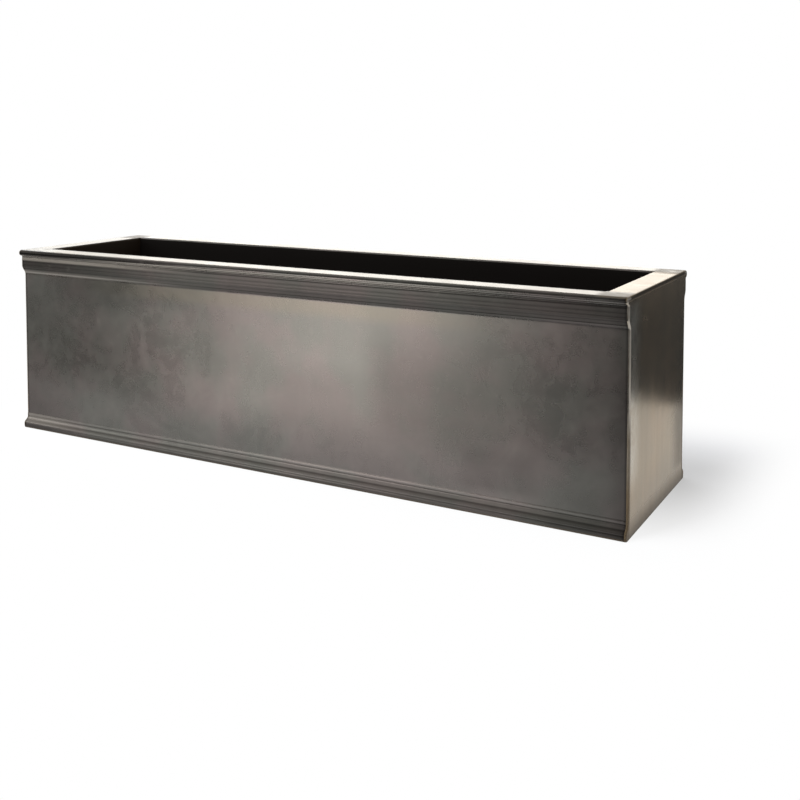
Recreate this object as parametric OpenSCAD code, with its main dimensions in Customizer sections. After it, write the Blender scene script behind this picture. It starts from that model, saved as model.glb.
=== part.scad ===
// Window box folded and pressed from sheet metal.
// Two moulded pressings make the front and back, two flat plates close the ends, and a
// drained tray makes the floor. Millimetres. The origin is at the middle of the base, front at -Y.

/* [Box] */
// Overall length across the two end panels
box_l = 915; // [600:5:1500]
// Overall depth across the nosings of the two long sides
box_d = 254; // [200:2:400]
// Overall height
box_h = 265; // [180:1:400]
// Thickness of the sheet
sheet_t = 2.5; // [1.5:0.1:3]
// Inside radius of a fold
bend_r = 0.5; // [0.3:0.1:2]
// Radius dressed onto the outer edges of the end panels
arris_r = 2.2; // [0.8:0.1:2.4]

/* [Rim] */
// Width of the flat rim on all four sides
rim_w = 34; // [28:1:50]
// Depth of the lip turned down round the mouth
rim_drop = 30; // [8:1:40]

/* [Cornice] */
// Height of the whole cornice
cornice_h = 37; // [34:0.5:50]
// How far the nosing stands out from the flat field
nose_p = 10.8; // [9:0.1:14]
// Height of the nosing
nose_h = 8.5; // [7:0.1:10]
// Radius of the nosing, above and below
nose_r = 4.2; // [3:0.1:4.5]
// Height of the cove under the nosing
cove_h = 2.9; // [1.5:0.1:4]
// How far the reeded frieze stands out from the flat field
frieze_p = 5.4; // [3.5:0.1:7]
// Height of the ogee that brings the frieze back to the field
ogee_h = 14; // [8:0.5:18]
// Width of the bead under the nosing
bead_w = 6.4; // [4:0.1:7]
// Number of reeds below the bead
cornice_reeds = 3; // [1:1:3]
// Width of one reed of the cornice
cornice_pitch = 4.6; // [3:0.1:5]

/* [Plinth] */
// How far the plinth stands out from the flat field
plinth_p = 6.5; // [4:0.1:10]
// Height of the upright face of the plinth
plinth_face_h = 7.2; // [5:0.1:12]
// Height of the ogee above that face
plinth_ogee_h = 8; // [7:0.1:12]
// Number of reeds on the plinth
plinth_reeds = 4; // [2:1:5]
// Width of one reed of the plinth
plinth_pitch = 5; // [3.5:0.1:6]
// Radius of the bottom outer edge
toe_r = 1.5; // [0.8:0.1:2]
// Width of the foot flange turned in under the box
foot_w = 25; // [16:1:50]

/* [Reeds] */
// Height of a reed above the grooves beside it
reed_h = 0.8; // [0.4:0.1:1.2]

/* [Floor] */
// Height of the turned-up edges of the floor pan
pan_up = 30; // [24:1:60]
// Number of drain holes
drain_count = 5; // [2:1:9]
// Diameter of a drain hole
drain_d = 12; // [8:0.5:20]
// Distance from each end of the box to the first drain hole
drain_edge = 120; // [60:5:200]

/* [Joints] */
// Width of each leg of the corner angles
angle_leg = 22; // [12:1:40]
// Thickness of the corner angles
angle_t = 2; // [1.5:0.1:3]
// Thickness of the plates under the rim joints
rim_plate_t = 2; // [1.5:0.1:4]
// How far a rim plate reaches under the end rail
rim_plate_lap = 22; // [12:1:40]
// Clearance round the floor pan and beside the pieces set in the corners
fit_gap = 0.3; // [0.2:0.1:0.6]
// Open width of the butt joints in the rim
seam_gap = 0.2; // [0.1:0.1:0.4]

/* [Hidden] */

pewter = "#6f6b66";
black_coat = "#1c1b1a";

half_l = box_l / 2;
half_d = box_d / 2;
inside_x = half_l - sheet_t;
// Distance from the middle of the box to the face of the flat field
field_y = half_d - nose_p;
fold_r = sheet_t + bend_r;
arris = min(arris_r, sheet_t - 0.1);

// Sections are drawn in q and z: q runs outwards from the face of the field.
mouth_q = nose_p - rim_w;
// A thin upright strip is left at the front of the nosing, and a hollow below it.
least = 0.1;
round_r = min(nose_r, nose_h / 2 - least, nose_p - frieze_p - least);
cove_w = nose_p - round_r - frieze_p;
bead_top = nose_h + cove_h;
reeds_top = bead_top + bead_w;
reeds_end = reeds_top + cornice_reeds * cornice_pitch;
ogee_top = cornice_h - ogee_h;
plinth_h = toe_r + plinth_reeds * plinth_pitch;

arc_steps = 5;
reed_steps = 8;
ogee_steps = 6;

// Points on an arc from angle a to angle b, ends included
function arc(cq, cz, r, a, b) = [for (i = [0:arc_steps])
    let (w = a + (b - a) * i / arc_steps) [cq + r * cos(w), cz + r * sin(w)]];

// An ogee falls from 1 to 0 as s goes from 0 to 1
function ogee(s) = 0.5 + 0.5 * cos(180 * min(max(s, 0), 1));

// Line of the grooves of the cornice, at depth d under the rim, and of the plinth, at height e
function cornice_line(d) = frieze_p * ogee((d - ogee_top) / ogee_h);
function plinth_line(e) = plinth_p * ogee((e - plinth_face_h) / plinth_ogee_h);

// One reed, a round swelling as u goes from 0 to 1
function reed(u) = reed_h * sin(180 * u);

// The same swelling left full between the first and last of n reeds, for the end panels
function reed_cover(u, n) = reed_h * (u < 0.5 ? sin(180 * u) : u > n - 0.5 ? sin(180 * (n - u)) : 1);

// Reeds down the cornice: the wide bead first, then the narrow reeds
function cornice_face() = concat(
    [for (i = [1:reed_steps]) let (u = i / reed_steps, d = bead_top + u * bead_w)
        [cornice_line(d) + reed(u), box_h - d]],
    [for (n = [0:cornice_reeds - 1], i = [1:reed_steps])
        let (u = i / reed_steps, d = reeds_top + (n + u) * cornice_pitch)
        [cornice_line(d) + reed(u), box_h - d]]);

// Smooth foot of the cornice's ogee, below the last reed
function cornice_foot() = [for (i = [1:ogee_steps])
    let (d = reeds_end + (cornice_h - reeds_end) * i / ogee_steps)
    [cornice_line(d), box_h - d]];

// Reeds down the plinth, from its top to its bottom edge
function plinth_face() = [for (n = [0:plinth_reeds - 1], i = [0:reed_steps - 1])
    let (u = i / reed_steps, e = plinth_h - (n + u) * plinth_pitch)
    [plinth_line(e) + reed(u), e]];

function toe() = arc(plinth_p - toe_r, toe_r, toe_r, 0, -90);

// Round nosing below its upper fold, and the cove that runs down to the first reed
function under_nose() = concat(
    arc(nose_p - round_r, box_h - nose_h + round_r, round_r, 0, -90),
    [for (i = [1:arc_steps]) let (w = 90 * i / arc_steps)
        [frieze_p + cove_w * (1 - sin(w)), box_h - bead_top + cove_h * cos(w)]]);

// Back of the sheet, from the foot flange up to the rim. It follows the ogees, half a sheet
// away along the slope, so the wall keeps its thickness.
plinth_back_shift = sheet_t / 2;
cornice_back_shift = sheet_t / 4;
function back_face() = concat(
    [[plinth_p - foot_w, 0], [plinth_p - foot_w, sheet_t], [plinth_p - sheet_t, sheet_t]],
    [for (i = [0:ogee_steps]) let (e = plinth_face_h + plinth_ogee_h * i / ogee_steps)
        [plinth_line(e) - sheet_t, e - plinth_back_shift]],
    [for (i = [ogee_steps:-1:0]) let (d = ogee_top + ogee_h * i / ogee_steps)
        [cornice_line(d) - sheet_t, box_h - d + cornice_back_shift]],
    [[frieze_p - sheet_t, box_h - bead_top + sheet_t],
     [nose_p - round_r, box_h - nose_h + sheet_t],
     [nose_p - sheet_t, box_h - nose_h / 2],
     [nose_p - round_r, box_h - sheet_t],
     [mouth_q + sheet_t, box_h - sheet_t],
     [mouth_q + sheet_t, box_h - rim_drop]]);

// Full section of a long side: mouth lip, rim, nosing, cornice, field, plinth and foot flange
function pressing_section() = concat(
    [[mouth_q, box_h - rim_drop]],
    arc(mouth_q + fold_r, box_h - fold_r, fold_r, 180, 90),
    arc(nose_p - round_r, box_h - round_r, round_r, 90, 0), under_nose(),
    cornice_face(), cornice_foot(), plinth_face(), toe(), back_face());

// The front pressing. Its lip stops short of the corners, where the rail is a plain strip.
module pressing() {
    difference() {
        rotate([90, 0, 90])
            linear_extrude(2 * inside_x, center = true)
                polygon([for (p = pressing_section()) [-field_y - p[0], p[1]]]);
        for (s = [-1, 1])
            translate([s * (half_l - rim_w / 2), -half_d + rim_w - fold_r / 2, box_h - rim_drop / 2])
                cube([rim_w, fold_r, rim_drop + 1], center = true);
    }
    // This strip takes the place of the rounded fold, and runs back into the rim beside it.
    corner_run = rim_w - sheet_t;
    for (s = [-1, 1])
        translate([s * (inside_x - corner_run / 2), -half_d + rim_w - fold_r, box_h - sheet_t / 2])
            cube([corner_run, 2 * fold_r, sheet_t], center = true);
}

module front_panel() { color(pewter) pressing(); }
module back_panel() { color(pewter) rotate([0, 0, 180]) pressing(); }

// Half outline of an end panel from the rim down. Each point is [q, z, a, b], where a and b say
// how far it draws in, along q and z, as the dressed edge rounds over.
function end_outline() = concat(
    [for (i = [0:arc_steps]) let (w = 90 - 90 * i / arc_steps)
        [nose_p - round_r + round_r * cos(w), box_h - round_r + round_r * sin(w), cos(w), sin(w)]],
    [for (p = under_nose()) [p[0], p[1], 1, 0]],
    [for (n = [0:cornice_reeds], i = [1:2])
        let (u = i / 2, w = n == 0 ? bead_w : cornice_pitch,
             d = (n == 0 ? bead_top : reeds_top + (n - 1) * cornice_pitch) + u * w)
        [cornice_line(d) + reed_cover(n + u, cornice_reeds + 1), box_h - d, 1, 0]],
    [for (p = cornice_foot()) [p[0], p[1], 1, 0]],
    [for (n = [0:plinth_reeds - 1], i = [0:3])
        let (u = i / 4, e = plinth_h - (n + u) * plinth_pitch)
        [plinth_line(e) + reed_cover(n + u, plinth_reeds), e, 1, 0]],
    [for (p = toe()) [p[0], p[1], 1, 0]]);

// Closed outline drawn in by r, at place x along the box
function end_ring(x, r) = let (half = end_outline(), n = len(half)) concat(
    [for (p = half) [x, -field_y - p[0] + r * p[2], p[1] - r * p[3]]],
    [for (i = [n - 1:-1:0]) let (p = half[i]) [x, field_y + p[0] - r * p[2], p[1] - r * p[3]]]);

// The flat plate of the right end, with its outer edge rounded over
module end_plate() {
    rings = concat([end_ring(inside_x, 0)], [for (i = [0:arc_steps]) let (w = 90 * i / arc_steps)
        end_ring(half_l - arris + arris * sin(w), arris * (1 - cos(w)))]);
    n = len(rings[0]);
    last = len(rings) - 1;
    polyhedron(
        points = [for (ring = rings, p = ring) p],
        faces = concat(
            [[for (i = [0:n - 1]) i]],
            [for (k = [0:last - 1], i = [0:n - 1]) [k * n + i, (k + 1) * n + i, k * n + (i + 1) % n]],
            [for (k = [0:last - 1], i = [0:n - 1])
                [k * n + (i + 1) % n, (k + 1) * n + i, (k + 1) * n + (i + 1) % n]],
            [[for (i = [n - 1:-1:0]) last * n + i]]));
}

// The rail and the foot flange run into the plate, as far as the middle of its square edge.
plate_x = inside_x + (sheet_t - arris) / 2;

// Rail and lip folded in at the top of an end panel, between the two long rails
function end_rail_section() = concat(
    [[plate_x, box_h]],
    arc(half_l - rim_w + fold_r, box_h - fold_r, fold_r, 90, 180),
    [[half_l - rim_w, box_h - rim_drop], [half_l - rim_w + sheet_t, box_h - rim_drop],
     [half_l - rim_w + sheet_t, box_h - sheet_t], [plate_x, box_h - sheet_t]]);

module end_panel() {
    end_plate();
    rotate([90, 0, 0])
        linear_extrude(2 * (half_d - rim_w - seam_gap), center = true)
            polygon(end_rail_section());
    foot_y = field_y + plinth_p - foot_w - seam_gap;
    translate([half_l - foot_w, -foot_y, 0])
        cube([plate_x - half_l + foot_w, 2 * foot_y, sheet_t]);
}

module right_end_panel() { color(pewter) end_panel(); }
module left_end_panel() { color(pewter) mirror([1, 0, 0]) end_panel(); }

// Floor pan: a tray that lies on the foot flanges, its turned-up edges against the walls
pan_x = inside_x - fit_gap;
pan_y = field_y - sheet_t - fit_gap;
function pan_section() = concat(
    [[-pan_y, sheet_t + pan_up]],
    arc(-pan_y + fold_r, sheet_t + fold_r, fold_r, 180, 270),
    arc(pan_y - fold_r, sheet_t + fold_r, fold_r, 270, 360),
    [[pan_y, sheet_t + pan_up], [pan_y - sheet_t, sheet_t + pan_up],
     [pan_y - sheet_t, 2 * sheet_t], [-pan_y + sheet_t, 2 * sheet_t],
     [-pan_y + sheet_t, sheet_t + pan_up]]);

// Its ends are folded up in the same way, between the sides
function pan_end_section() = concat(
    [[pan_x - 2 * fold_r, sheet_t]],
    arc(pan_x - fold_r, sheet_t + fold_r, fold_r, 270, 360),
    [[pan_x, sheet_t + pan_up], [pan_x - sheet_t, sheet_t + pan_up],
     [pan_x - sheet_t, 2 * sheet_t], [pan_x - 2 * fold_r, 2 * sheet_t]]);

module floor_pan() {
    drain_pitch = (box_l - 2 * drain_edge) / (drain_count - 1);
    color(black_coat) difference() {
        union() {
            rotate([90, 0, 90])
                linear_extrude(2 * (pan_x - fold_r), center = true)
                    polygon(pan_section());
            for (s = [0, 1])
                mirror([s, 0, 0]) rotate([90, 0, 0])
                    linear_extrude(2 * (pan_y - sheet_t - seam_gap), center = true)
                        polygon(pan_end_section());
        }
        for (i = [0:drain_count - 1])
            translate([-half_l + drain_edge + i * drain_pitch, 0, sheet_t / 2])
                cylinder(h = 2 * sheet_t, d = drain_d, $fn = 48);
    }
}

// Inside angle of the front right corner, from the edge of the floor pan up to the cornice
angle_foot = sheet_t + pan_up + fit_gap;
angle_top = box_h - cornice_h;
function angle_section() = concat(
    [[inside_x, -field_y + sheet_t + angle_leg], [inside_x - angle_t, -field_y + sheet_t + angle_leg],
     [inside_x - angle_t, -field_y + sheet_t + angle_t],
     [inside_x - angle_leg, -field_y + sheet_t + angle_t],
     [inside_x - angle_leg, -field_y + sheet_t]],
    arc(inside_x - angle_t, -field_y + sheet_t + angle_t, angle_t, 270, 360));

module corner_angle(left, back) {
    color(black_coat) mirror([left ? 1 : 0, 0, 0]) mirror([0, back ? 1 : 0, 0])
        translate([0, 0, angle_foot])
            linear_extrude(angle_top - angle_foot)
                polygon(angle_section());
}

module front_left_corner_angle() { corner_angle(true, false); }
module front_right_corner_angle() { corner_angle(false, false); }
module back_left_corner_angle() { corner_angle(true, true); }
module back_right_corner_angle() { corner_angle(false, true); }

// Flat plate under the rim's front right butt joint. Its inner corner is cut off.
module rim_plate(left, back) {
    x0 = half_l - rim_w + sheet_t + fit_gap;
    y0 = -field_y + sheet_t;
    y1 = -half_d + rim_w + rim_plate_lap;
    clip = (inside_x - x0) / 2;
    color(black_coat) mirror([left ? 1 : 0, 0, 0]) mirror([0, back ? 1 : 0, 0])
        translate([0, 0, box_h - sheet_t - rim_plate_t])
            linear_extrude(rim_plate_t)
                polygon([[x0, y0], [inside_x, y0], [inside_x, y1], [x0 + clip, y1], [x0, y1 - clip]]);
}

module front_left_rim_plate() { rim_plate(true, false); }
module front_right_rim_plate() { rim_plate(false, false); }
module back_left_rim_plate() { rim_plate(true, true); }
module back_right_rim_plate() { rim_plate(false, true); }

front_panel();
back_panel();
left_end_panel();
right_end_panel();
floor_pan();
front_left_corner_angle();
front_right_corner_angle();
back_left_corner_angle();
back_right_corner_angle();
front_left_rim_plate();
front_right_rim_plate();
back_left_rim_plate();
back_right_rim_plate();
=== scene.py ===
import math

import bmesh
import bpy
from mathutils import Matrix, Vector


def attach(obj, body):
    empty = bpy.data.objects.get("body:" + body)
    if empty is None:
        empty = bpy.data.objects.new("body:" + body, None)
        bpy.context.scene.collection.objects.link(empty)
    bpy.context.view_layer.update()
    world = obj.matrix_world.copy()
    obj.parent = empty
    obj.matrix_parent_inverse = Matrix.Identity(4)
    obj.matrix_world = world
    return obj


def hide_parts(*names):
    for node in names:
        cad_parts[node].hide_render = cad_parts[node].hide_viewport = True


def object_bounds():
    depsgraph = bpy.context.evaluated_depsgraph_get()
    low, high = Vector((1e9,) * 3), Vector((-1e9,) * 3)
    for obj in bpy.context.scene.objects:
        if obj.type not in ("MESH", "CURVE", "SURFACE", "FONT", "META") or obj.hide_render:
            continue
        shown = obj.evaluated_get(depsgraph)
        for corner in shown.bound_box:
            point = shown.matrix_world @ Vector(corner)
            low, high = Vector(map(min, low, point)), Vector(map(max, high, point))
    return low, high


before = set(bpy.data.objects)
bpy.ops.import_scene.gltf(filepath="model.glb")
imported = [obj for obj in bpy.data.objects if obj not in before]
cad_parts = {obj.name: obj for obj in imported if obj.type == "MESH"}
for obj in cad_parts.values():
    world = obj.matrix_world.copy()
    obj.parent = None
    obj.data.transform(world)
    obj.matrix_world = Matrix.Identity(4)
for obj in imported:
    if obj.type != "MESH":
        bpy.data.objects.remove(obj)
cad_low, cad_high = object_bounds()

# Front and back panels
# Each is one sheet of metal pressed with a reeded cornice and a reeded plinth. Its top is folded over
# into the rim and its lip, and its foot into a flange. The back panel is the front one turned round.
mm = 0.001
half_length, half_depth, height = [round(size, 4) for size in cad_high]
sheet, fold, rim_width, lip_depth = 2.5 * mm, 3 * mm, 34 * mm, 30 * mm
nosing, nosing_height, nosing_round, cove_height = 10.8 * mm, 8.5 * mm, 4.15 * mm, 2.9 * mm
frieze, cornice_height, ogee_height, bead = 5.4 * mm, 37 * mm, 14 * mm, 6.4 * mm
plinth, plinth_face, plinth_ogee, toe, foot = 6.5 * mm, 7.2 * mm, 8 * mm, 1.5 * mm, 25 * mm
cornice_reeds, cornice_reed, cornice_rise = 3, 4.6 * mm, 0.34 * mm
plinth_reeds, plinth_reed, plinth_rise = 4, 5 * mm, 0.55 * mm
fold_steps, coat_fade = 8, 5
inside, seam_dirt = half_length - sheet, 5 * mm
field = half_depth - nosing
cove = nosing - nosing_round - frieze
bead_top = nosing_height + cove_height
reeds_top = bead_top + bead
reeds_end = reeds_top + cornice_reeds * cornice_reed


def ogee(share):
    return 0.5 + 0.5 * math.cos(math.pi * min(max(share, 0), 1))


def cornice_line(depth):
    return frieze * ogee((depth - cornice_height + ogee_height) / ogee_height)


def plinth_line(level):
    return plinth * ogee((level - plinth_face) / plinth_ogee)


def bend(q, z, radius, start, end, steps=8):
    turns = [math.radians(start + (end - start) * i / steps) for i in range(steps + 1)]
    return [(q + radius * math.cos(a), z + radius * math.sin(a)) for a in turns]


def straight(a, b, steps):
    return [(a[0] + (b[0] - a[0]) * i / steps, a[1] + (b[1] - a[1]) * i / steps) for i in range(steps + 1)]


def cornice_rows(steps):
    """Rows down the reeded cornice: distance out, height and the number of reeds passed."""
    rows = []
    for n in range(cornice_reeds + 1):
        wide = bead if n == 0 else cornice_reed
        top = bead_top if n == 0 else reeds_top + (n - 1) * cornice_reed
        for i in range(1, steps + 1):
            depth = top + wide * i / steps
            rows.append((cornice_line(depth), height - depth, n + i / steps))
    return rows


def cornice_foot(steps=8):
    depths = [reeds_end + (cornice_height - reeds_end) * i / steps for i in range(1, steps + 1)]
    return [(cornice_line(d), height - d) for d in depths]


def field_rows(close=0.4 * mm, steps=24):
    top, low = height - cornice_height - close, toe + plinth_reeds * plinth_reed + close
    return straight((0, top), (0, low), steps)


def plinth_rows(steps):
    """Rows down the reeded plinth, as for the cornice."""
    rows = []
    for n in range(plinth_reeds):
        for i in range(steps):
            level = toe + (plinth_reeds - n - i / steps) * plinth_reed
            rows.append((plinth_line(level), level, n + i / steps))
    return rows


def nose_rows(steps=8):
    """Rows round the lower half of the nosing and down the cove under it."""
    nose = bend(nosing - nosing_round, height - nosing_height + nosing_round, nosing_round, 0, -90)
    for i in range(1, steps + 1):
        a = math.pi / 2 * i / steps
        nose.append((frieze + cove * (1 - math.sin(a)), height - bead_top + cove_height * math.cos(a)))
    return nose


def panel_section(lip_steps=5, rim_steps=10, back_steps=8):
    """Points round the sheet of a long side. Each is q, the distance out from the flat field, and z,
    then q and z past the ends of the lip, reeds passed, and how far the black coat covers the metal."""

    def bare(points):
        return [(*p, *p, 0, 0) for p in points]

    mouth = nosing - rim_width
    lip = straight((mouth, height - lip_depth), (mouth, height - fold), lip_steps)
    edge = straight((mouth, height - sheet), (mouth, height), lip_steps - 1)
    rows = [(*p, *edge[min(i, lip_steps - 2)], 0, 1) for i, p in enumerate(lip[:-1])]
    for i, p in enumerate(bend(mouth + fold, height - fold, fold, 180, 90, fold_steps)):
        rows.append((*p, max(mouth, p[0] - fold * (1 - i / fold_steps)), height, 0, 1 - i / coat_fade))
    rows += bare(straight((mouth + fold, height), (nosing - nosing_round, height), rim_steps)[1:-1])
    rows += bare(bend(nosing - nosing_round, height - nosing_round, nosing_round, 90, 0) + nose_rows())
    rows += [(q, z, q, z, reed, 0) for q, z, reed in cornice_rows(steps=12)]
    rows += bare(cornice_foot() + field_rows())
    rows += [(q, z, q, z, reed, 0) for q, z, reed in plinth_rows(steps=10)]
    rows += bare(bend(plinth - toe, toe, toe, 0, -90, steps=5))
    back = [(plinth - foot, 0), (plinth - foot, sheet), (plinth - sheet, sheet)]
    for i in range(back_steps + 1):
        level = plinth_face + plinth_ogee * i / back_steps
        back.append((plinth_line(level) - sheet, level - sheet / 2))
    for i in range(back_steps, -1, -1):
        depth = cornice_height - ogee_height + ogee_height * i / back_steps
        back.append((cornice_line(depth) - sheet, height - depth + sheet / 4))
    back += [(frieze - sheet, height - bead_top + sheet),
             (nosing - nosing_round, height - nosing_height + sheet),
             (nosing - sheet, height - nosing_height / 2),
             (nosing - nosing_round, height - sheet), (mouth + sheet, height - sheet)]
    rows += [(*p, *p, 0, 1) for p in back]
    rows.append((mouth + sheet, height - lip_depth, mouth + sheet / 2, height - sheet, 0, 1))
    return rows


def pressed_sheet(name, steps=90, end_steps=4):
    """The bent sheet before its reeds are pressed, as a closed mesh along X with its front at -Y."""
    rows, corner = panel_section(), half_length - rim_width
    along = [-corner + 2 * corner * i / steps for i in range(steps + 1)]
    ends = [inside, inside - seam_dirt]
    ends += [inside - (inside - corner) * i / end_steps for i in range(1, end_steps + 1)]
    stations = [(-x, True) for x in ends] + [(x, False) for x in along]
    stations += [(x, True) for x in reversed(ends)]
    made = bmesh.new()
    reed = made.verts.layers.float.new("reed")
    coat = made.verts.layers.float.new("coat")
    edge = made.verts.layers.float.new("edge")
    out = made.verts.layers.float_vector.new("outwards")
    rings = []
    for x, plain in stations:
        ring = []
        for row in rows:
            q, z = row[2:4] if plain else row[0:2]
            vert = made.verts.new((x, -field - q, z))
            vert[reed], vert[coat], vert[out] = row[4], row[5], (0, -1, 0)
            vert[edge] = -1 if abs(x) > inside - seam_dirt / 2 else 0
            ring.append(vert)
        rings.append(ring)
    close_tube(made, rings)
    return plain_mesh(made, name)


def close_tube(made, rings):
    """Faces between one ring of points and the next, and a face on either end."""
    for a, b in zip(rings, rings[1:]):
        for i in range(len(a)):
            j = (i + 1) % len(a)
            made.faces.new((a[i], b[i], b[j], a[j]))
    made.faces.new(rings[0])
    made.faces.new(list(reversed(rings[-1])))


def plain_mesh(made, name, merge=1e-6):
    bmesh.ops.remove_doubles(made, verts=made.verts, dist=merge)
    bmesh.ops.dissolve_degenerate(made, edges=made.edges, dist=merge)
    bmesh.ops.recalc_face_normals(made, faces=made.faces)
    mesh = bpy.data.meshes.new(name)
    made.to_mesh(mesh)
    made.free()
    return mesh


class Wire:
    """One value in a node tree. Sums on wires add Math nodes."""

    def __init__(self, tree, socket=None):
        self.tree, self.socket = tree, socket

    def node(self, kind, settings=None, inputs=None, output=0):
        made = self.tree.nodes.new(kind)
        for name, value in (settings or {}).items():
            setattr(made, name, value)
        for name, value in (inputs or {}).items():
            if isinstance(value, Wire):
                self.tree.links.new(value.socket, made.inputs[name])
            else:
                made.inputs[name].default_value = value
        return Wire(self.tree, made.outputs[output] if made.outputs else None)

    def math(self, operation, a, b=None):
        inputs = {0: a} if b is None else {0: a, 1: b}
        return self.node("ShaderNodeMath", {"operation": operation}, inputs)

    def __add__(self, other):
        return self.math("ADD", self, other)

    def __radd__(self, other):
        return self.math("ADD", other, self)

    def __sub__(self, other):
        return self.math("SUBTRACT", self, other)

    def __rsub__(self, other):
        return self.math("SUBTRACT", other, self)

    def __mul__(self, other):
        return self.math("MULTIPLY", self, other)

    def __rmul__(self, other):
        return self.math("MULTIPLY", other, self)

    def __truediv__(self, other):
        return self.math("DIVIDE", self, other)

    def __pow__(self, other):
        return self.math("POWER", self, other)

    def __abs__(self):
        return self.math("ABSOLUTE", self)

    def between(self, low, high):
        """0 below low and 1 above high, with a soft step between them."""
        return self.node("ShaderNodeMapRange", {"interpolation_type": "SMOOTHSTEP"},
                         {"Value": self, "From Min": low, "From Max": high})

    def blend(self, a, b):
        """Colour a where this is 0 and colour b where it is 1."""
        a, b = [colour if isinstance(colour, Wire) else (*colour, 1) for colour in (a, b)]
        return self.node("ShaderNodeMix", {"data_type": "RGBA"}, {0: self, 6: a, 7: b}, 2)

    def parts(self):
        """The X, Y and Z of a place."""
        split = self.node("ShaderNodeSeparateXYZ", None, {0: self})
        return [Wire(self.tree, socket) for socket in split.socket.node.outputs]

    def into(self, node, name):
        """Leads this into a socket of a node that the tree has from the start."""
        self.tree.links.new(self.socket, self.tree.nodes[node].inputs[name])


def reed_press():
    """Presses the reeds outwards by their rule, and gives the sheet its slight unevenness."""
    tree = bpy.data.node_groups.new("reed press", "GeometryNodeTree")
    tree.interface.new_socket("Geometry", in_out="OUTPUT", socket_type="NodeSocketGeometry")
    tree.interface.new_socket("Geometry", in_out="INPUT", socket_type="NodeSocketGeometry")
    for label in ("Cornice Reed Height", "Plinth Reed Height", "Dent Depth", "Dents per Metre", "Seed"):
        tree.interface.new_socket(label, in_out="INPUT", socket_type="NodeSocketFloat")
    tree.interface.new_socket("Finish", in_out="INPUT", socket_type="NodeSocketMaterial")
    start = Wire(tree)
    given = start.node("NodeGroupInput").socket.node.outputs
    blank, high_reeds, low_reeds, dent_depth, dents, seed, finish = [Wire(tree, s) for s in given[:7]]
    passed, coat = [start.node("GeometryNodeInputNamedAttribute", {"data_type": "FLOAT"}, {"Name": label})
                    for label in ("reed", "coat")]
    outwards = start.node("GeometryNodeInputNamedAttribute", {"data_type": "FLOAT_VECTOR"},
                          {"Name": "outwards"})
    place = start.node("GeometryNodeInputPosition")
    upper = start.math("GREATER_THAN", place.parts()[2], height / 2)
    swelling = abs(start.math("SINE", passed * math.pi)) * (low_reeds + (high_reeds - low_reeds) * upper)
    patchy = start.node("ShaderNodeTexNoise", {"noise_dimensions": "4D"},
                        {"Vector": place, "W": seed, "Scale": dents, "Detail": 1.0})
    rise = swelling + dent_depth * (patchy - 1) * (1 - coat)
    moved = start.node("ShaderNodeVectorMath", {"operation": "SCALE"}, {0: outwards, "Scale": rise})
    pressed = start.node("GeometryNodeSetPosition", None, {"Geometry": blank, "Offset": moved})
    real = start.node("GeometryNodeRealizeInstances", None, {"Geometry": pressed})
    done = start.node("GeometryNodeSetMaterial", None, {"Geometry": real, "Material": finish})
    start.node("NodeGroupOutput", None, {"Geometry": done})
    return tree


press = reed_press()
dent_depth, dents_per_metre, crease = 0.12 * mm, 6.0, math.radians(32)


def press_piece(name, blank, finish, seed):
    """Runs the blank through the press and keeps the result as a plain mesh."""
    tool = bpy.data.objects.new(name + " blank", blank)
    bpy.context.scene.collection.objects.link(tool)
    stage = tool.modifiers.new("press", "NODES")
    stage.node_group = press
    sockets = {s.name: s.identifier for s in press.interface.items_tree if s.in_out == "INPUT"}
    for label, value in (("Cornice Reed Height", cornice_rise), ("Plinth Reed Height", plinth_rise),
                         ("Dent Depth", dent_depth), ("Dents per Metre", dents_per_metre), ("Seed", seed),
                         ("Finish", finish)):
        stage[sockets[label]] = value
    view = bpy.context.evaluated_depsgraph_get()
    mesh = bpy.data.meshes.new_from_object(tool.evaluated_get(view), depsgraph=view)
    mesh.name = name
    bpy.data.objects.remove(tool)
    mesh.polygons.foreach_set("use_smooth", [True] * len(mesh.polygons))
    mesh.set_sharp_from_angle(angle=crease)
    piece = bpy.data.objects.new(name, mesh)
    bpy.context.scene.collection.objects.link(piece)
    return piece


def new_finish(name):
    finish = bpy.data.materials.new(name)
    finish.use_nodes = True
    return finish, Wire(finish.node_tree)


def noise(where, scale, detail, distortion=0.0, roughness=0.6):
    return where.node("ShaderNodeTexNoise", None, {"Vector": where, "Scale": scale, "Detail": detail,
                                                   "Roughness": roughness, "Distortion": distortion})


def band(across, begin, full, fade, end):
    """1 from full to fade, with soft steps up from begin and down to end."""
    return across.between(begin, full) * (1 - across.between(fade, end))


def most(first, *others):
    """The greatest of the values."""
    for other in others:
        first = first.math("MAXIMUM", first, other)
    return first


# Colours. The worn metal also carries painted highlights, the end highlight tone is a painted highlight,
# the brown also carries painted shade, and the left rail tone is a painted tint.
worn_and_highlight_metal, end_highlight_tone, beige_tone = (0.40, 0.37, 0.33), (0.42, 0.40, 0.355), (0.170, 0.152, 0.118)
brown_dirt_and_shade, left_rail_reflection_tone = (0.120, 0.088, 0.050), (0.20, 0.22, 0.26)


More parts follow.
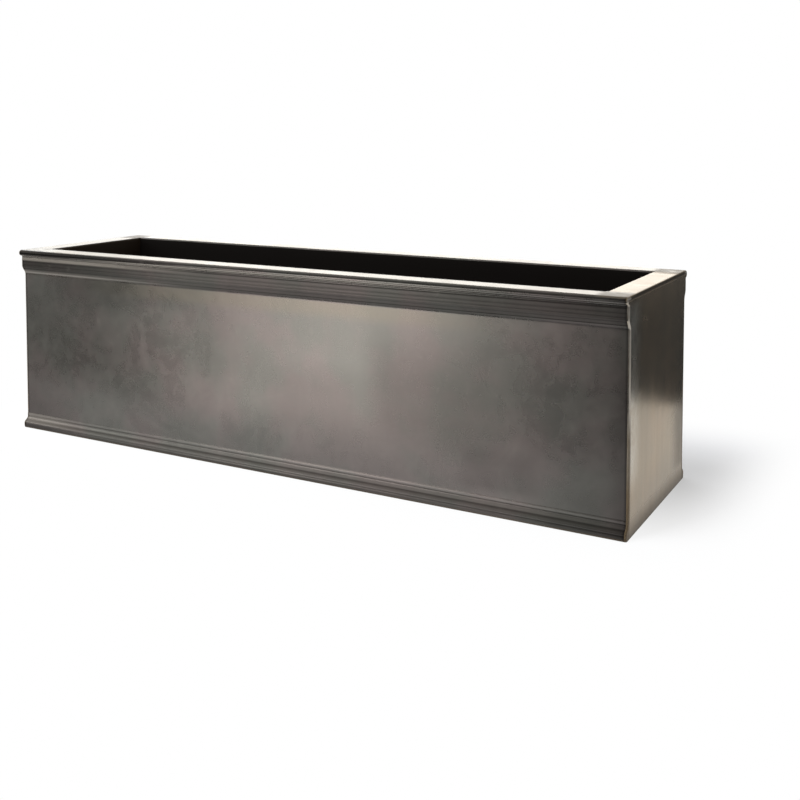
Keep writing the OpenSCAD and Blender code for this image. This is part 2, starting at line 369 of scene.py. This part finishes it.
def pewter(name, warm, cool, brushing, coat_colour, glance=(1.0, 0.98, 0.94, 1)):
    """Dark patina clouded by hand rubbing. Edges are rubbed bright, the grooves between the reeds are
    darker, and dull brown dirt sits in the seams and round the joints of the rim. Painted highlights
    lighten bands of the moulding and a pale smear near the front edge of the end. Painted shade darkens
    the nosing, the cove, the toe, the ends of the long sides and the foot and rear of the end, there in
    dull brown. The field has darker and lighter patches and a beige band under the cornice, the top of
    the left rail has a cold painted tint, and the inside is black."""
    finish, start = new_finish(name)
    place = start.node("ShaderNodeTexCoord", output="Object")
    upright = start.node("ShaderNodeMapping", None, {"Vector": place, "Scale": (1.0, 1.0, 0.06)})
    broad, tint, fine = noise(place, 4.5, 1.0), noise(place, 9.0, 3.0), noise(place, 350.0, 2.0)
    cloud, mottle = noise(place, 15.0, 3.0, 0.9), noise(place, 60.0, 2.5, 0.5)
    brushed, hairs = noise(upright, 55.0, 3.0, 0.2), noise(upright, 330.0, 2.0)
    passed, covered, edge = [start.node("ShaderNodeAttribute", {"attribute_name": label}, output="Fac")
                             for label in ("reed", "coat", "edge")]

    # Zones. Depth is in millimetres below the rim, level in millimetres above the foot, and x, y and
    # z are in metres.
    x, y, z = place.parts()
    depth, level = (height - z) / mm, z / mm
    upper = z.between(height / 2, height / 2 + mm)
    far, left, right = abs(x).between(0.15, 0.43), (0 - x).between(0.10, 0.36), x.between(-0.05, 0.35)
    far_left, middle = (0 - x).between(0.32, 0.43), 1 - abs(x + 0.02).between(0.16, 0.38)
    on_end = abs(x).between(inside - 0.1 * mm, inside + 0.1 * mm)
    outside = abs(y).between(field - 0.6 * mm, field - 0.3 * mm) * (1 - on_end)
    joint, mouth = half_length - rim_width, half_depth - rim_width

    # Darker grooves of the moulding, with painted shade and painted highlight bands on it
    reeded = passed.between(0.0, 0.02)
    groove = reeded * (1 - abs(start.math("SINE", passed * math.pi))) ** 3.0
    groove_dirt = groove * (0.5 - 0.15 * upper - 0.3 * far_left * (1 - upper))
    # Painted shade on the cornice reeds, stronger towards both ends and on the left
    painted_reed_shade = (0.14 + 0.3 * far + 0.2 * left) * reeded * upper
    # Painted shade: a dark line along the top of the nosing, wider and stronger on the left
    nose_top = band(depth, 1 - 0.5 * left, 2.2 - left, 3 + 4 * left, 4.5 + 4 * left)
    painted_nose_shade = outside * nose_top * (0.65 + 0.2 * left)
    # Painted shade in the cove under the nosing and at the foot of the cornice, not on the left
    painted_cove_shade = outside * (1 - left) * (band(depth, 8.8, 9.8, 12.3, 13.8) * 0.5
                                        + band(depth, 30.5, 31.5, 33.5, 35.5) * 0.4)
    # Painted shade along the toe, darker towards the foot
    painted_toe_shade = (0.58 - 0.15 * right) * (1 - level.between(2.5, 7 + 7 * right))
    # Painted highlight on the ogee of the plinth
    painted_ogee_highlight = 0.3 * reeded * (1 - upper) * level.between(7, 11)
    # Painted highlights: light bands under the nosing, on the cornice and on the plinth
    painted_highlight_bands = outside * (band(depth, 4.6, 6.4, 9.0, 9.8) * middle * 0.75
                     + band(depth, 9, 10.5, 14, 16.5) * left * 0.65
                     + band(depth, 28, 32, 35.5, 37) * left * 0.3
                     + band(level, 7, 9, 20.5, 21.5) * far_left * 0.35)

    # Tones of the flat field, with painted shade towards its ends
    beige = outside * band(depth, 36, 38, 46, 62) * middle
    # Painted shade towards the right end of the long sides
    painted_side_shade = outside * x.between(0.43, 0.456) * 0.28
    # Painted shade low down towards both ends of the long sides
    painted_low_corner_shade = abs(x).between(0.30, 0.46) * (1 - level.between(30, 120)) * (1 - on_end) * 0.4
    # Darker patches of the field and one lighter patch, at given places
    field_patches = outside * (band(x, -0.06, 0.03, 0.10, 0.16) * band(level, 40, 90, 115, 165) * 0.22
                        + band(x, 0.11, 0.165, 0.24, 0.40) * band(level, 40, 100, 125, 250) * 0.39
                        + band(x, 0.24, 0.28, 0.33, 0.37) * band(level, 22, 35, 60, 85) * 0.2
                        + band(x, -0.43, -0.35, -0.30, -0.22) * band(level, 170, 222, 228, 232) * 0.28
                        - band(x, -0.30, -0.25, -0.16, -0.11) * band(level, 70, 100, 190, 205) * 0.16)

    # Painted shade and a painted highlight on the ends, and dirt along the seam
    # Painted shade: a dark line along the foot of the end
    painted_foot_line = on_end * (1 - level.between(1, 4)) * 0.6
    # Painted shade low on the end and towards its rear
    painted_low_end_shade = on_end * most(1 - level.between(5, 80), y.between(0.02, 0.11) * 0.7) * 0.35
    # Painted shade on the rear part of the end
    painted_rear_end_shade = on_end * y.between(0.05, 0.10) * band(level, 12, 30, 75, 125)
    seam_edge = on_end * abs(y).between(field - 8 * mm, field - 3 * mm) * (1 - level.between(100, 150))
    # Painted shade, dull and brown, towards the foot of the ends and in the bottom 3 mm of every piece
    painted_foot_shade = most(on_end * (1 - level.between(0.5, 28)) * 0.46, (1 - level.between(1.5, 3)) * 0.4)
    # Dull and brown: painted shade at the foot and rear of the end, and dirt along the seam
    end_dirt_and_shade = most(painted_foot_shade, seam_edge * 0.6, painted_rear_end_shade * 0.22)
    # Painted highlight: a pale smear near the front edge of the end
    painted_end_highlight = (on_end * (0 - y).between(field - 50 * mm, field - 8 * mm) * band(level, 42, 80, 250, 262)
             * (0.5 + 0.5 * mottle.between(0.3, 0.6)) * (0.75 + 0.22 * level.between(190, 215)))

    # Joints, stains and borders of the rim
    on_rim = 1 - depth.between(0.3, 1)
    rim_shade = abs(x).between(half_length - 1.3 * mm, half_length - 0.7 * mm) * band(depth, 0.2, 0.6, 3, 6)
    # Painted shade along the inner edge of the rim
    painted_inner_edge_shade = ((1 - abs(y).between(mouth + 1.5 * mm, mouth + 7 * mm)) * on_rim
                  * (1 - abs(x).between(joint - 2 * mm, joint)))
    stain = (abs(y + 8 * mm).between(mouth - 0.4 * rim_width, mouth + 0.1 * rim_width)
             * abs(x).between(joint - 8 * mm, joint + 5 * mm) * z.between(height - 2 * mm, height - mm)
             * (cloud + mottle * 0.5).between(0.5, 0.8))
    # Painted reflection tint: the top of the left rail is made cold so that it reads white
    left_rail_painted_tint = (0 - x).between(0.38, 0.42) * on_rim
    rim_rub = (1 - depth.between(0.05, 0.4)) * (1 - painted_inner_edge_shade) * 0.25

    # Edges, worn on the dressed edge of the ends and dirty where they meet the long sides
    worn = (edge + (mottle - 0.5)).between(0.1, 0.9)
    seam_line = (0 - edge).between(0.3, 0.9) * 0.45
    upright_edge = most(depth.between(4, 7), abs(y).between(field - 3 * mm, field))
    edge_rub = worn * (0.1 + 0.6 * level.between(90, 150)) * upright_edge

    # Colour, from the bare metal out to the black coat
    shade = ((broad - 0.5) * 0.35 + (cloud - 0.5) * 0.4 + (mottle - 0.5) * 0.18
             + brushing * ((brushed - 0.5) * 1.1 + (hairs - 0.5) * 0.5))
    light = (1 + shade) * (1 + painted_ogee_highlight)
    # Darkening by the grooves and seams and by the painted shades above
    for darkening in (groove_dirt, painted_reed_shade, painted_nose_shade, painted_cove_shade, painted_toe_shade, painted_side_shade, painted_low_corner_shade, field_patches,
                 painted_foot_line, painted_low_end_shade, painted_rear_end_shade * 0.35, rim_shade * 0.88, painted_inner_edge_shade * 0.4, seam_line):
        light = light * (1 - darkening)
    metal = tint.between(0.38, 0.62).blend(cool, warm)
    metal = (beige * 0.45).blend(metal, beige_tone)
    metal = (left_rail_painted_tint * 0.9).blend(metal, left_rail_reflection_tone)
    lit = start.node("ShaderNodeVectorMath", {"operation": "SCALE"}, {0: metal, "Scale": light})
    # Worn edges, rubbed rim top and painted highlight bands, over the painted pale highlight of the end
    worn_and_highlighted = most(edge_rub, painted_highlight_bands, rim_rub).blend(painted_end_highlight.blend(lit, end_highlight_tone), worn_and_highlight_metal)
    # Stains on the rim, and the painted shade of the ends and foot, in dull brown
    stained_and_shaded = most(stain * 0.5, end_dirt_and_shade).blend(worn_and_highlighted, brown_dirt_and_shade)
    black = (covered + (cloud - 0.5) * 0.5).between(0.35, 0.6)
    black.blend(stained_and_shaded, coat_colour).into("Principled BSDF", "Base Color")

    # Gloss and relief
    dull = most(stain * 0.3, rim_shade * 0.85, painted_inner_edge_shade * 0.3, end_dirt_and_shade)
    rough = (0.28 - 0.04 * on_end + (cloud - 0.5) * 0.1 + (mottle - 0.5) * 0.08
             + (0.06 + 0.14 * upper) * reeded + 0.1 * worn + 0.45 * dull)
    (rough * (1 - black) + 0.7 * black).into("Principled BSDF", "Roughness")
    ((1 - black) * (1 - dull)).into("Principled BSDF", "Metallic")
    shader = finish.node_tree.nodes["Principled BSDF"]
    shader.inputs["Specular IOR Level"].default_value = 0.15
    shader.inputs["Specular Tint"].default_value = glance
    relief = cloud + mottle * 0.4 + fine * 0.03 + brushing * (brushed * 1.2 + hairs * 0.25)
    bump = start.node("ShaderNodeBump", None, {"Strength": 0.3, "Distance": 0.0003, "Height": relief})
    bump.into("Principled BSDF", "Normal")
    return finish


panel_finish = pewter("panel patina", warm=(0.156, 0.138, 0.131), cool=(0.139, 0.136, 0.125),
                      brushing=0.05, coat_colour=(0.0048, 0.0038, 0.0034))
for side, seed, turn in (("front", 3.0, 0.0), ("back", 8.0, math.pi)):
    blank = pressed_sheet(side + " blank sheet")
    panel = press_piece(side + "_pressing", blank, panel_finish, seed)
    panel.data.transform(Matrix.Rotation(turn, 4, "Z"))
    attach(panel, "root")
    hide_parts(side + "_panel")

# End panels
# Each is a flat plate cut to the outline of the mouldings, with its outer edge dressed round. A rail
# and its lip are folded in at the top between the long rails, and a flange is turned in at the foot.
arris, worn_border, seam = 2.2 * mm, 2 * mm, 0.2 * mm


def reed_cover(passed, last):
    """How far the plate follows the reeds' height. It comes up over half a reed at either end."""
    return math.sin(math.pi * min(passed, last - passed, 0.5))


def end_outline(steps=8):
    """The plate's front edge from the rim down: q, z, and how its rounded edge draws in along q and z."""
    rows = []
    for i in range(steps + 1):
        a = math.radians(90 - 90 * i / steps)
        rows.append((nosing - nosing_round * (1 - math.cos(a)), height - nosing_round * (1 - math.sin(a)),
                     math.cos(a), math.sin(a)))
    rows += [(*p, 1, 0) for p in nose_rows()]
    for q, z, n in cornice_rows(steps=4):
        rows.append((q + cornice_rise * reed_cover(n, cornice_reeds + 1), z, 1, 0))
    rows += [(*p, 1, 0) for p in cornice_foot() + field_rows()]
    for q, z, n in plinth_rows(steps=4):
        rows.append((q + plinth_rise * reed_cover(n, plinth_reeds), z, 1, 0))
    rows += [(*p, 1, 0) for p in bend(plinth - toe, toe, toe, 0, -90, steps=5)]
    return rows


def end_plate(name, columns=30, edge_steps=7):
    """The right-hand plate: a grid of columns on its face, rings round its dressed edge, and its back."""
    rows = end_outline()
    made = bmesh.new()
    coat = made.verts.layers.float.new("coat")
    edge = made.verts.layers.float.new("edge")
    out = made.verts.layers.float_vector.new("outwards")
    made.verts.layers.float.new("reed")

    def grid(x, draw, covered, wear, ring_only):
        net = {}
        for i, (q, z, a, b) in enumerate(rows):
            half = field + q - draw * a
            for j in range(columns + 1):
                if ring_only and 0 < i < len(rows) - 1 and 0 < j < columns:
                    continue
                vert = made.verts.new((x, -half + 2 * half * j / columns, z - draw * b))
                vert[coat], vert[edge], vert[out] = covered, wear, (1, 0, 0)
                net[i, j] = vert
        return net

    def fill(net, flip):
        for i in range(len(rows) - 1):
            for j in range(columns):
                quad = (net[i, j], net[i, j + 1], net[i + 1, j + 1], net[i + 1, j])
                made.faces.new(quad[::-1] if flip else quad)

    def border():
        down = [(i, 0) for i in range(len(rows))]
        across = [(len(rows) - 1, j) for j in range(1, columns + 1)]
        up = [(i, columns) for i in range(len(rows) - 2, -1, -1)]
        return down + across + up + [(0, j) for j in range(columns - 1, 0, -1)]

    nets = [grid(inside, 0, 1, -1, False)]
    for i in range(edge_steps + 1):
        turn = math.pi / 2 * i / edge_steps
        x, draw = half_length - arris + arris * math.sin(turn), arris * (1 - math.cos(turn))
        nets.append(grid(x, draw, 0, min(1, 1.6 * math.sin(turn)), True))
    nets.append(grid(half_length, arris + worn_border, 0, 0, False))
    fill(nets[0], False)
    fill(nets[-1], True)
    keys = border()
    for a, b in zip(nets, nets[1:]):
        for k, key in enumerate(keys):
            after = keys[(k + 1) % len(keys)]
            made.faces.new((a[key], a[after], b[after], b[key]))
    return plain_mesh(made, name)


def end_rail(name, steps=16, rim_steps=8):
    """The folded rail and lip of the right-hand end, and its foot flange, as closed bars along Y."""
    made = bmesh.new()
    coat = made.verts.layers.float.new("coat")
    made.verts.layers.float.new("edge")
    made.verts.layers.float_vector.new("outwards")
    made.verts.layers.float.new("reed")
    mouth, plate = half_length - rim_width, inside + (sheet - arris) / 2
    rail = [(plate, height, 0)]
    rail += [(x, z, 0) for x, z in straight((inside, height), (mouth + fold, height), rim_steps)[:-1]]
    for i, (x, z) in enumerate(bend(mouth + fold, height - fold, fold, 90, 180, fold_steps)):
        rail.append((x, z, i / coat_fade))
    rail += [(mouth, height - lip_depth, 1), (mouth + sheet, height - lip_depth, 1),
             (mouth + sheet, height - sheet, 1), (plate, height - sheet, 1)]
    flange = [(plate, 0, 0), (half_length - foot, 0, 0), (half_length - foot, sheet, 1), (plate, sheet, 1)]
    for bar, reach in ((rail, half_depth - rim_width - seam), (flange, field + plinth - foot - seam)):
        rings = []
        for i in range(steps + 1):
            ring = [made.verts.new((x, -reach + 2 * reach * i / steps, z)) for x, z, _ in bar]
            for vert, row in zip(ring, bar):
                vert[coat] = row[2]
            rings.append(ring)
        close_tube(made, rings)
    return plain_mesh(made, name)


def end_blank(name):
    joined = bmesh.new()
    for part in (end_plate(name), end_rail(name)):
        joined.from_mesh(part)
        bpy.data.meshes.remove(part)
    mesh = bpy.data.meshes.new(name)
    joined.to_mesh(mesh)
    joined.free()
    return mesh


# A lighter, warmer copy of the panels' patina, with stronger brushing: painted light on the ends, outside
# and on the black coat inside
lit_end_finish = pewter("end patina lit copy", warm=(0.235, 0.170, 0.105), cool=(0.212, 0.164, 0.105), brushing=0.5,
                    coat_colour=(0.022, 0.015, 0.010), glance=(1.0, 0.97, 0.92, 1))
for side, seed, turn in (("right", 5.0, 0.0), ("left", 11.0, math.pi)):
    end = press_piece(side + "_end_plate", end_blank(side + " end blank"), lit_end_finish, seed)
    end.data.transform(Matrix.Rotation(turn, 4, "Z"))
    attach(end, "root")
    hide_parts(side + "_end_panel")

# Floor pan, corner angles and rim plates
# They are folded or cut from sheet, brushed with a thick black bituminous coat and soldered inside
# the walls. Soil and water leave them with a dull, slightly brown and patchy surface.


def black_coat(name):
    finish, start = new_finish(name)
    place = start.node("ShaderNodeTexCoord", output="Object")
    brushed = start.node("ShaderNodeMapping", None, {"Vector": place, "Scale": (0.12, 1.0, 1.0)})
    patch, bristle = noise(place, 18.0, 5.0), noise(brushed, 300.0, 3.0, roughness=0.5)
    colour = patch.between(0.4, 0.7).blend((0.010, 0.009, 0.008), (0.022, 0.017, 0.013))
    colour.into("Principled BSDF", "Base Color")
    (0.5 + 0.3 * patch).into("Principled BSDF", "Roughness")
    relief = bristle * 0.6 + patch
    bump = start.node("ShaderNodeBump", None, {"Strength": 0.5, "Distance": 0.0004, "Height": relief})
    bump.into("Principled BSDF", "Normal")
    finish.node_tree.nodes["Principled BSDF"].inputs["Specular IOR Level"].default_value = 0.15
    return finish


inner_coat = black_coat("black coat")
for node in ["floor_pan"] + [f"{a}_{b}_{c}" for a in ("front", "back") for b in ("left", "right")
                             for c in ("corner_angle", "rim_plate")]:
    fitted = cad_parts[node]
    fitted.data.materials.clear()
    fitted.data.materials.append(inner_coat)

# Floor, room and lights
# The box stands on a white board in a studio of grey cloth with a lighter roof, open and white behind.
# A large soft light hangs in front, two more stand on the left and a low wide one behind.


def laid(level, *corners):
    """The corners of a sheet that lies flat."""
    return [(*corner, level) for corner in corners]


def hung(a, b):
    """The corners of a cloth that hangs over the line from a to b."""
    return [(*a, deep), (*a, tall), (*b, tall), (*b, deep)]


def square(half):
    """The corners of a square round the box, from the front left one by the right."""
    return [(-half, -half), (half, -half), (half, half), (-half, half)]


def stage_plane(name, corners, material):
    mesh = bpy.data.meshes.new(name)
    mesh.from_pydata(corners, [], [(0, 1, 2, 3)])
    mesh.materials.append(material)
    plane = bpy.data.objects.new(name, mesh)
    bpy.context.scene.collection.objects.link(plane)
    return plane


def rays(start):
    """1 for what the camera sees, straight or in metal or glass."""
    return most(*[start.node("ShaderNodeLightPath", output=kind)
                  for kind in ("Is Camera Ray", "Is Glossy Ray", "Is Transmission Ray")])


def board_white(shadow=0.62):
    """Matt white that takes the box's shadow near it and turns plain white further out."""
    finish, start = new_finish("white board")
    finish.node_tree.nodes.remove(finish.node_tree.nodes["Principled BSDF"])
    x, y, _ = start.node("ShaderNodeTexCoord", output="Object").parts()
    beside = (abs(x) - half_length).between(0.0, 0.13)
    behind = (y - half_depth).between(0.10, 0.28)
    before = (0 - y - half_depth).between(-0.29, 0.09)
    near = (1 - beside) * (1 - behind) * (1 - before)
    seen = start.node("ShaderNodeLightPath", output="Is Camera Ray")
    matt = start.node("ShaderNodeBsdfDiffuse", None, {"Color": (0.87, 0.89, 0.94, 1)})
    white = start.node("ShaderNodeEmission", None, {"Color": (1, 1, 1, 1), "Strength": 1.0})
    share = rays(start) * (1 - shadow * seen * near)
    mixed = start.node("ShaderNodeMixShader", None, {0: share, 1: matt, 2: white})
    mixed.into("Material Output", "Surface")
    return finish


board_front, board_back, board_half = -0.34, 0.47, 1.6
board = laid(0, (-board_half, board_front), (board_half, board_front),
             (board_half, board_back), (-board_half, board_back))
stage_plane("white_board", board, board_white())


def cloth(name, right_glow, left_glow, right_end=-0.9, left_end=-3.3):
    """Cloth lit from the left: its glow changes from one end to the other along X."""
    finish, start = new_finish(name)
    finish.node_tree.nodes.remove(finish.node_tree.nodes["Principled BSDF"])
    x, _, _ = start.node("ShaderNodeTexCoord", output="Object").parts()
    glow = x.between(right_end, left_end).blend(right_glow, left_glow)
    lit = start.node("ShaderNodeEmission", None, {"Color": glow, "Strength": 1.0})
    lit.into("Material Output", "Surface")
    return finish


room_half, ground_half, deep, tall = 4.5, 12, -0.9, 2.8
front_left, front_right, back_right, back_left = square(room_half)
walls = cloth("grey cloth", right_glow=(0.26, 0.25, 0.24), left_glow=(0.56, 0.57, 0.56))
roof = cloth("light cloth", right_glow=(0.40, 0.39, 0.37), left_glow=(0.95, 0.94, 0.92),
             right_end=1.0, left_end=-3.5)
ground = cloth("dark ground", right_glow=(0.078, 0.083, 0.088), left_glow=(0.13, 0.12, 0.105))
for name, finish, corners in (
        ("front_cloth", walls, hung(front_left, front_right)),
        ("left_cloth", walls, hung(back_left, front_left)),
        ("right_cloth", walls, hung(front_right, back_right)),
        ("roof_cloth", roof, laid(tall, front_left, back_left, back_right, front_right)),
        ("studio_ground", ground, laid(deep, *square(ground_half)))):
    stage_plane(name, corners, finish).visible_camera = False

room = bpy.data.worlds.new("studio")
room.use_nodes = True
bpy.context.scene.world = room
room.node_tree.nodes.remove(room.node_tree.nodes["Background"])
start = Wire(room.node_tree)
fill = start.node("ShaderNodeBackground", None, {"Color": (1, 1, 1, 1), "Strength": 0.5})
backdrop = start.node("ShaderNodeBackground", None, {"Color": (1, 1, 1, 1), "Strength": 1.0})
mixed = start.node("ShaderNodeMixShader", None, {0: rays(start), 1: fill, 2: backdrop})
mixed.into("World Output", "Surface")


def soft_light(name, place, aim, size, glow, tint=(1, 1, 1)):
    """A rectangular soft light whose face has the radiance glow."""
    lamp = bpy.data.lights.new(name, "AREA")
    lamp.shape, lamp.size, lamp.size_y = "RECTANGLE", size[0], size[1]
    lamp.energy, lamp.color = glow * size[0] * size[1] * math.pi, tint
    held = bpy.data.objects.new(name, lamp)
    held.location = place
    held.rotation_mode = "QUATERNION"
    held.rotation_quaternion = (Vector(aim) - Vector(place)).to_track_quat("-Z", "Y")
    held.visible_camera = False
    bpy.context.scene.collection.objects.link(held)
    return held


overhead = soft_light("overhead light", place=(-0.42, -1.0, 2.0), aim=(0, 0, 0), size=(0.9, 1.8), glow=9.5)
overhead.visible_glossy = False
soft_light("left strip light", place=(-1.08, -2.05, -0.2), aim=(0, -0.1, 0.1), size=(0.85, 1.3), glow=3.0,
           tint=(1.0, 0.96, 0.93))
soft_light("high left light", place=(-4.3, -2.4, 2.0), aim=(-0.4, 0, 0.1), size=(1.7, 1.5), glow=2.4)
soft_light("back light", place=(-2.0, 2.7, 0.75), aim=(-0.3, 0, 0.25), size=(4.0, 1.1), glow=1.7,
           tint=(1.0, 0.98, 0.94))

# Camera
# It stands to the right of the box and a little above it, with its lens shifted down.
lens = bpy.data.cameras.new("camera")
lens.lens, lens.sensor_width, lens.shift_y = 47.689, 36, -0.265
lens.clip_start, lens.clip_end = 0.05, 50
camera = bpy.data.objects.new("camera", lens)
turn, tilt = math.radians(28.909), math.radians(3.201)
ahead = Vector((-math.sin(turn) * math.cos(tilt), math.cos(turn) * math.cos(tilt), -math.sin(tilt)))
camera.location = (0.7828, -1.2127, 0.4429)
camera.rotation_mode = "QUATERNION"
camera.rotation_quaternion = ahead.to_track_quat("-Z", "Y")
bpy.context.scene.collection.objects.link(camera)
bpy.context.scene.camera = camera
bpy.context.scene.view_settings.view_transform = "Standard"
